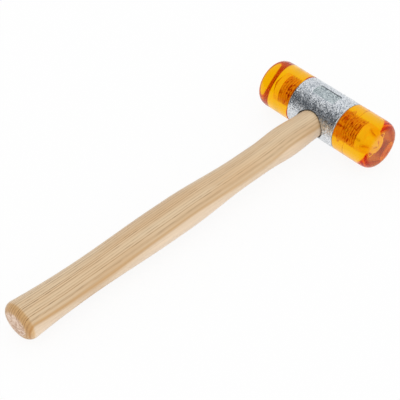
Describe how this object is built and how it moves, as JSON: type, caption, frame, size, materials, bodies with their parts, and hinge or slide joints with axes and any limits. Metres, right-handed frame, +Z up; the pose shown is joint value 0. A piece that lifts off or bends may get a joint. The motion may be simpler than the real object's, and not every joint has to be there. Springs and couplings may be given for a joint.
{
  "type": "soft face hammer",
  "caption": "Soft face hammer: plated cast housing with screw-on clear amber plastic striking faces and a wedged oval ash handle.",
  "frame": {"origin": "on the ground plane, below the middle of the hammer's length, with the hammer lying on its cheek", "axes": "+X along the head to the front striking face, +Y along the handle from the butt to the head, +Z up out of the cheek with the sunk panel"},
  "size_m": [0.092, 0.266, 0.032],
  "materials": {
    "plated_casting": "zinc plated rough casting",
    "amber_acetate": "clear amber cellulose acetate, polished",
    "stud_steel": "bright threaded steel",
    "ash_wood": "sanded and waxed ash",
    "wedge_wood": "plain hardwood",
    "wedge_steel": "plain steel"
  },
  "bodies": {
    "hammer_body": {"head_housing": "plated_casting", "handle": "ash_wood", "wooden_wedge": "wedge_wood", "ring_wedge": "wedge_steel"},
    "front_screw": {"front_stud": "stud_steel"},
    "front_end": {"front_face": "amber_acetate"},
    "rear_screw": {"rear_stud": "stud_steel"},
    "rear_end": {"rear_face": "amber_acetate"}
  },
  "joints": [
    {"name": "front_face_turn", "type": "hinge", "parent": "hammer_body", "child": "front_screw", "pos_m": [0.019, 0.117, 0.016], "axis": [1, 0, 0], "range_deg": [0, 1800]},
    {"name": "front_face_travel", "type": "slide", "parent": "front_screw", "child": "front_end", "axis": [1, 0, 0], "range_m": [0, 0.00875]},
    {"name": "rear_face_turn", "type": "hinge", "parent": "hammer_body", "child": "rear_screw", "pos_m": [-0.019, 0.117, 0.016], "axis": [-1, 0, 0], "range_deg": [0, 1800]},
    {"name": "rear_face_travel", "type": "slide", "parent": "rear_screw", "child": "rear_end", "axis": [-1, 0, 0], "range_m": [0, 0.00875]}
  ],
  "couplings": [
    {"joint": "front_face_travel", "follows": "front_face_turn", "m_per_rad": 0.0002785},
    {"joint": "rear_face_travel", "follows": "rear_face_turn", "m_per_rad": 0.0002785}
  ]
}
